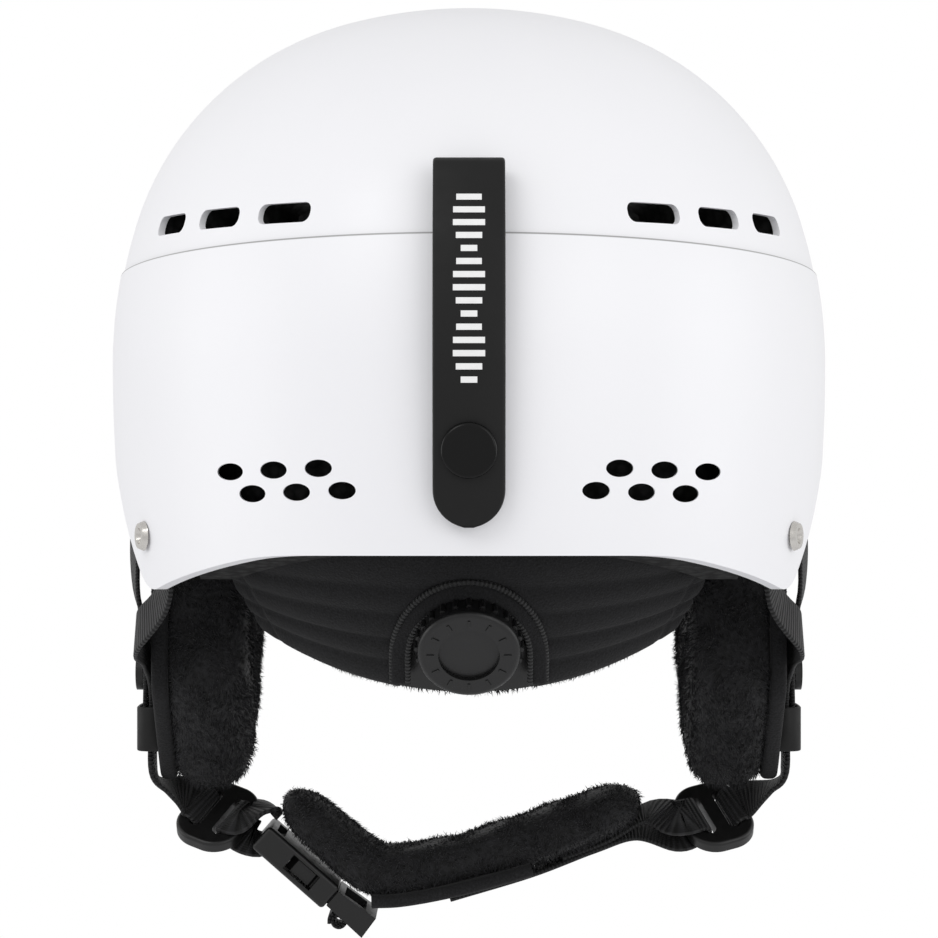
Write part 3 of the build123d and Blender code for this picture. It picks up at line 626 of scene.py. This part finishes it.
def make_cradle(cloth, plush, fur_black, thread, webbing):
    cover = cradle_sheet("neck_cover_quilted", 84.0, 81.4, True, True, cloth)
    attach(cover, "cradle")
    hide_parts("neck_cover")
    lines = []
    for share in QUILT_LINES[1:-1]:
        for side, _ in SIDES:
            line, outward = [], []
            for degrees in np.linspace(1, NECK_HALF_ANGLE - 1, 80):
                angle = side * math.radians(degrees)
                z = NECK_TOP + (cradle_edge(angle, 84) - NECK_TOP) * share
                spot = cradle_point(angle, z, 83.0)
                if not in_notch(spot[0], z, BINDING_HALF + 0.5):
                    line.append(spot)
                    outward.append(outward_at(angle, z))
            lines.append((line, outward))
    seams = stitches("neck_cover_stitches", lines, thread)
    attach(seams, "cradle")

    binding = strap("notch_binding_tape", binding_path(20.3, 0.0), cloth, 5.4, 1.8, steps=3)
    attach(binding, "cradle")
    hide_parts("notch_binding")
    for half, place in ((22.7, "outer"), (18.0, "inner")):
        cord = strap(f"notch_piping_{place}", binding_path(half, 0.5), webbing, 1.7, 1.7, steps=3)
        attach(cord, "cradle")

    fleece = cradle_sheet("neck_fleece_pad", 77.4, 70.5, False, False, plush, 60, 24)
    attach(fleece, "cradle")
    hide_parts("neck_fleece")
    pile = fur("neck_fleece_pile", fleece, 0.9, 2.2, fur_black, (0, 0, -0.8), 5)
    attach(pile, "cradle")


# ---------------------------------------------------------------- comfort pads in the shell
def dome_width(z, inset):
    """Half width of the dome at a height, moved inwards by inset."""
    if z < EQUATOR_Z:
        return math.sqrt((TUCK_RADIUS - inset) ** 2 - (EQUATOR_Z - z) ** 2) + HALF_WIDTH - TUCK_RADIUS
    side_radius = CROWN_RADIUS - inset
    if z < EQUATOR_Z + side_radius * math.sin(CROWN_SWEEP):
        return math.sqrt(side_radius**2 - (z - EQUATOR_Z) ** 2) + HALF_WIDTH - CROWN_RADIUS
    return math.sqrt((SHOULDER_RADIUS - inset) ** 2 - (z - SHOULDER_Z) ** 2) + SHOULDER_X


def dome_height(x, y, inset):
    """Height of the dome over a point near its crown, moved inwards by inset."""
    reach = math.hypot(x, y / LENGTH_RATIO)
    if reach < (CROWN_RADIUS - inset) * math.sin(CROWN_SWEEP):
        return math.sqrt((CROWN_RADIUS - inset) ** 2 - reach**2) + CROWN_CENTRE_Z
    return math.sqrt((SHOULDER_RADIUS - inset) ** 2 - (reach - SHOULDER_X) ** 2) + SHOULDER_Z


def box_corners(width, height, centre):
    """Corners of an upright rectangle, in order."""
    return [(centre[0] + sx * width / 2, centre[1] + sz * height / 2)
            for sx, sz in ((-1, -1), (1, -1), (1, 1), (-1, 1))]


def make_comfort_pads(plush, fur_black):
    """Plush pads that follow the inside of the dome."""
    def on_brow(spot, inset):
        width = dome_width(spot[1], inset)
        return (spot[0], LENGTH_RATIO * math.sqrt(width**2 - spot[0] ** 2), spot[1])

    def on_crown(spot, inset):
        return (spot[0], spot[1], dome_height(spot[0], spot[1], inset))

    def on_side(side):
        def place(spot, inset):
            width = dome_width(spot[1], inset)
            return (side * math.sqrt(width**2 - (spot[0] / LENGTH_RATIO) ** 2), spot[0], spot[1])
        return place

    pads = [("brow_pad", box_corners(131, 20, (0, 42)), 7.6, on_brow),
            ("crown_pad", box_corners(63, 111, (0, 0)), 23, on_crown)]
    pads += [(f"side_pad_{name}", box_corners(85, 31, (0, 55)), 11.5, on_side(side))
             for side, name in SIDES]
    for seed, (name, corners, radius, place) in enumerate(pads):
        outline = rounded_outline(corners, radius)
        pad = pillow(f"{name}_plush", outline, PAD_OUTER_INSET, PAD_INNER_INSET, 2.4, plush, place)
        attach(pad, "shell")
        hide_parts(name)
        pile = fur(f"{name}_pile", pad, 0.7, 1.8, fur_black, (0, 0, -0.4), 40 + seed)
        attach(pile, "shell")


# ---------------------------------------------------------------- ear pads
def make_ear_pads(cloth, plush, fur_black, thread):
    for side, name in SIDES:
        outline = rounded_outline(EAR_OUTLINE, 12, -0.4)
        pad = pillow(f"ear_pad_{name}_plush", outline, EAR_INNER_X + 1.2, EAR_PAD_X + 0.2, 4.0, plush,
                     lambda spot, depth, side=side: (side * depth, spot[0], spot[1]))
        plump(pad, 4.0, 2.2)
        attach(pad, "shell")
        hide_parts(f"ear_pad_{name}")
        pile = fur(f"ear_pad_{name}_pile", pad, 1.8, 2.7, fur_black, (0, -0.1, -1), 11 + side)
        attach(pile, "shell")

        outline = rounded_outline(EAR_OUTLINE, 12, -1.5)
        cover = pillow(f"ear_cover_{name}_cloth", outline, EAR_COVER_X - 1.2, EAR_OUTER_X, 1.8, cloth,
                       lambda spot, depth, side=side: (side * depth, spot[0], spot[1]))
        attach(cover, "shell")
        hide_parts(f"ear_cover_{name}")
        ring = rounded_outline(EAR_OUTLINE, 12, -7.5)
        ring = np.vstack([ring, ring[:1]])
        line = [(side * (EAR_OUTER_X - 0.15), y, z) for y, z in ring]
        seam = stitches(f"ear_cover_{name}_stitches", [(line, [(side, 0, 0)] * len(line))], thread)
        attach(seam, "shell")


# ---------------------------------------------------------------- harness webbing
def make_keepers(rubber):
    """Thin elastic loops that hold the webbing against the ear covers."""
    for side, name in SIDES:
        loop = [((97.6, -11.4, -82.5), (0, 0, 1)), ((101.5, -11.6, -82.5), (0, 0, 1)),
                ((104.6, -9.4, -82.5), (0, 0, 1)), ((105.3, -4, -82.5), (0, 0, 1)),
                ((105.3, 4, -82.5), (0, 0, 1)), ((104.6, 9.4, -82.5), (0, 0, 1)),
                ((101.5, 11.6, -82.5), (0, 0, 1)), ((97.6, 11.4, -82.5), (0, 0, 1))]
        stations = [((side * x, y, z), (side * u, v, w)) for (x, y, z), (u, v, w) in loop]
        piece = strap(f"strap_keeper_{name}_loop", stations, rubber, 14.0, 1.0)
        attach(piece, "shell")
        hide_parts(f"strap_keeper_{name}")


def slider_point(side, x, z):
    """Point on a slider in its own frame: x along the chin strap, z off the plate."""
    tilt = math.radians(28 if side < 0 else 20)
    along = np.array([-side * math.cos(tilt), -0.79 * math.sin(tilt), -0.62 * math.sin(tilt)])
    face = np.array([0, -0.6173, 0.7867])
    along = unit(along - face * (along @ face))
    return np.array([side * 80 - 1, CHIN_Y, -112]) + along * x + face * z, np.cross(face, along)


def make_harness(webbing):
    for side, name in SIDES:
        rear = [((90.9, -61.3, -15), (0.4, 0.75, 0.5)), ((92.7, -52, -38), (0.3, 0.85, 0.4)),
                ((101.6, -41, -50), (0, 0.5, 0.85)), ((101.5, -22, -55), (0, 0.35, 0.93)),
                ((101, -6, -64), (0, 0.75, 0.6)), ((101, 0, -78), (0, 1, 0)),
                ((101.4, 1, -96), (0, 1, 0)), ((97.6, 3, -102.3), (0.1, 1, 0.1))]
        stations = [((side * x, y, z), (side * u, v, w)) for (x, y, z), (u, v, w) in rear]
        for x, z in ((-10.5, 3.4), (-6.5, 3.0), (-4.4, 0.6), (-5.2, -2.6), (-9.5, -3.2)):
            spot, across = slider_point(side, x, z)
            stations.append((tuple(spot), tuple(across if across[1] > 0 else -across)))
        piece = strap(f"rear_webbing_{name}_tape", stations, webbing)
        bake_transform(piece)
        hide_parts(f"rear_webbing_{name}")

        front = [((98.4, 54, 28), (-0.3, 0.6, -0.7)), ((103.4, 34, 8), (-0.1, 0.7, -0.7)),
                 ((108, 19, -12), (0.25, 0.9, -0.3)), ((107.6, 8, -36), (0.2, 1, 0)),
                 ((103.1, 1, -56), (0, 1, 0)), ((103.1, 0, -76), (0, 1, 0))]
        stations = [((side * x, y, z), (side * u, v, w)) for (x, y, z), (u, v, w) in front]
        piece = strap(f"front_webbing_{name}_tape", stations, webbing)
        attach(piece, "shell")
        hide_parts(f"front_webbing_{name}")

    def from_slider(side, xs):
        stations = []
        for x, z in xs:
            spot, across = slider_point(side, x, z)
            stations.append((tuple(spot), tuple(across if across[1] > 0 else -across)))
        return stations

    around_bar = ((13.5, -3.6), (8.5, -3.2), (5.2, -2.6), (4.4, 0), (5.2, 2.6), (8.5, 3.2))
    left = [((-59.6, CHIN_Y, -119.2), (0, 1, 0)), ((-63.6, CHIN_Y, -118.6), (0, 1, 0))]
    left += from_slider(-1, around_bar)
    left += [((-67.6, CHIN_Y - 3, -109.4), (0.2, 1, 0.2)), ((-64.4, CHIN_Y, -109.2), (0, 1, 0)),
             ((-61.0, CHIN_Y, -112.2), (0, 1, 0))]
    piece = strap("chin_webbing_left_tape", left, webbing)
    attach(piece, "chin_strap")
    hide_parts("chin_webbing_left")

    right = [((-6, CHIN_Y, -138.0), (0, 1, 0)), ((20, CHIN_Y, -130.2), (0, 1, 0)),
             ((40, CHIN_Y, -121.6), (0, 1, 0.15)), ((54, CHIN_Y, -116.4), (0, 1, 0.3))]
    right += from_slider(1, around_bar)
    right += from_slider(1, ((12.5, 3.6),))
    right += [((58, CHIN_Y, -110.6), (0, 1, 0.3)), ((44, CHIN_Y, -118.6), (0, 1, 0.15)),
              ((30, CHIN_Y, -124.8), (0, 1, 0))]
    piece = strap("chin_webbing_right_tape", right, webbing)
    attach(piece, "chin_strap")
    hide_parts("chin_webbing_right")


def make_plug_webbing(webbing):
    """The webbing's sewn end, rolled up below the plug."""
    centre_x, centre_z = (start + ROLL_ALONG * along - ROLL_BELOW * up for start, along, up
                          in zip(BUCKLE_START, BUCKLE_ALONG, BUCKLE_UP))
    stations = []
    for turn in np.linspace(0.1, 1.55, 14):
        angle, reach = 2 * math.pi * turn, 1.3 + 1.15 * turn
        stations.append(((centre_x + reach * math.cos(angle), CHIN_Y,
                          centre_z + reach * math.sin(angle)), (0, 1, 0)))
    piece = strap("plug_webbing_roll", stations, webbing, 14.6, 1.1)
    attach(piece, "plug")
    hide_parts("plug_webbing")


# ---------------------------------------------------------------- chin pad
def make_chin_pad(plush, cloth, fur_black):
    path = smooth_path([(-58.5, -103.6), (-45, -116.2), (-31, -128.4), (-20, -129.0), (-10, -127.6),
                        (15, -120.8), (38, -111.9), (54.0, -104.2)], 7)
    tangent = unit(np.gradient(path, axis=0))
    normal = np.stack([-tangent[:, 1], tangent[:, 0]], 1)
    count, around = len(path), 20
    points = []
    for i in range(count):
        end = min(i, count - 1 - i) / 5
        size = math.sqrt(max(0.03, 1 - (1 - min(end, 1)) ** 2))
        dent = 1 - 0.16 * math.exp(-((path[i, 0] + 1) / 4) ** 2)
        for k in range(around):
            angle = 2 * math.pi * k / around
            wide = math.copysign(abs(math.cos(angle)) ** 0.6, math.cos(angle)) * 15.6 * size
            tall = math.copysign(abs(math.sin(angle)) ** 0.75, math.sin(angle)) * 6.8 * size * dent
            spot = path[i] + normal[i] * tall
            points.append((spot[0], CHIN_Y + wide, spot[1]))
    pad = mesh_object("chin_pad_plush", points, tube_faces(count, around), plush)
    plump(pad, 3.5, 1.2)
    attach(pad, "chin_strap")
    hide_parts("chin_pad")
    pile = fur("chin_pad_pile", pad, 2.2, 2.4, fur_black, (0.25, -0.3, -0.6), 23)
    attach(pile, "chin_strap")

    stations = [((x, CHIN_Y, z), (0, 1, 0)) for x, z in
                ((-31, -137.6), (-22, -137.2), (-10, -135.2), (4, -131.9), (20, -127.4))]
    backing = strap("chin_backing_cloth", stations, cloth, 32.5, 4.2)
    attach(backing, "chin_strap")
    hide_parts("chin_pad_backing")


# ---------------------------------------------------------------- goggle strap
def make_goggle_strap(rubber, ink):
    def taper(count):
        """Full width, then a half-round end."""
        reach = 10.0 / 96.0
        shares = np.linspace(0, 1, count)
        return [math.sqrt(max(0.02, 1 - max(0, (s - 1 + reach) / reach) ** 2)) for s in shares]

    fold = [((0, -132.9, 66.4), (1, 0, 0)), ((0, -130.6, 74.5), (1, 0, 0)),
            ((0, -128.0, 81.6), (1, 0, 0)), ((0, -128.4, 84.6), (1, 0, 0)),
            ((0, -130.2, 85.2), (1, 0, 0)), ((0, -131.6, 83.6), (1, 0, 0))]
    piece = strap("goggle_strap_fold", fold, rubber, 19.8, 1.9, steps=8)
    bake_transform(piece)
    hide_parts("strap_anchor")

    flap = [((0, -129.4, 85.4), (1, 0, 0)), ((0, -131.4, 84.2), (1, 0, 0)),
            ((0, -133.6, 79.6), (1, 0, 0)), ((0, -136.4, 73.0), (1, 0, 0)),
            ((0, -139.6, 63), (1, 0, 0)), ((0, -141.6, 48), (1, 0, 0)),
            ((0, -142.2, 34), (1, 0, 0)), ((0, -141.6, 20), (1, 0, 0)),
            ((0, -140.1, 5.2), (1, 0, 0)), ((0, -138.4, -6), (1, 0, 0)),
            ((0, -137.0, -16), (1, 0, 0))]
    piece = strap("goggle_strap_flap", flap, rubber, 20, 2.0, steps=16, widths=taper)
    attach(piece, "goggle_flap")
    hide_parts("goggle_flap")

    # printed decoration: a ladder of plain bars that grow and shrink
    centres = smooth_path([centre for centre, _ in flap], 16)
    points, faces = [], []
    heights = np.arange(75.6, 22.0, -3.6)
    for index, height in enumerate(heights):
        half = 2.2 + 2.3 * abs(math.sin(index * math.pi / 5 + 0.6))
        first = len(points)
        for z in (height, height - 1.7):
            y = np.interp(z, centres[::-1, 2], centres[::-1, 1]) - 1.22
            points += [(-half, y, z), (half, y, z), (half, y + 0.3, z), (-half, y + 0.3, z)]
        faces += [[first, first + 4, first + 5, first + 1], [first + 3, first + 2, first + 6, first + 7],
                  [first, first + 1, first + 2, first + 3], [first + 4, first + 7, first + 6, first + 5],
                  [first, first + 3, first + 7, first + 4], [first + 1, first + 5, first + 6, first + 2]]
    marks = mesh_object("goggle_strap_marks", points, faces, ink, smooth=False)
    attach(marks, "goggle_flap")


# ---------------------------------------------------------------- CAD nodes that stay
def dress_nodes(looks):
    for names, material in looks:
        for name in names:
            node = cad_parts[name]
            for place in node.material_slots:
                place.material = material
            node.data.shade_smooth()
            node.data.set_sharp_from_angle(angle=SHARP_ANGLE)


# ---------------------------------------------------------------- the helmet
make_camera()
make_studio()
webbing = webbing_material()
cloth = cloth_material("softshell", 0.0075)
plush = plush_material("plush_base", 0.003)
fur_black = plush_material("plush_pile", 0.0055)
thread = plain_material("thread", grey(0.022), 0.7, 500, 0.02, 0.15)
rubber = plain_material("rubber_black", grey(0.006), 0.5, 90, 0.03, 0.25)
plastic = plain_material("moulded_black", grey(0.006), 0.36, 110, 0.03, 0.4)
dial_plastic = plain_material("dial_soft_touch", grey(0.007, 0.04), 0.34, 110, 0.03, 0.4)
cap_plastic = plain_material("cap_gloss", grey(0.002), 0.2, 110, 0.01, 0.22)
ink = plain_material("white_print", (0.86, 0.86, 0.86), 0.6, 300, 0.01)
foam = foam_material()

make_cradle(cloth, plush, fur_black, thread, webbing)
make_comfort_pads(plush, fur_black)
make_ear_pads(cloth, plush, fur_black, thread)
make_keepers(rubber)
make_harness(webbing)
make_plug_webbing(webbing)
make_chin_pad(plush, cloth, fur_black)
make_goggle_strap(rubber, ink)
dress_nodes([
    (("upper_shell", "lower_shell"), shell_material()),
    (("foam_liner",), foam),
    (("hook_patches",), plush),
    (("strap_rivets", "anchor_rivet", "snap_stud", "snap_socket"), steel_material()),
    (("dial_knob",), dial_plastic),
    (("snap_cap",), cap_plastic),
    (("fit_bracket", "neck_plate", "dial_housing", "dial_pinion", "fit_band_left",
      "fit_band_right", "ear_clip_left", "ear_clip_right", "keeper_snaps", "slider_left",
      "slider_right", "buckle_socket", "buckle_plug", "prong_front", "prong_rear"), plastic),
])
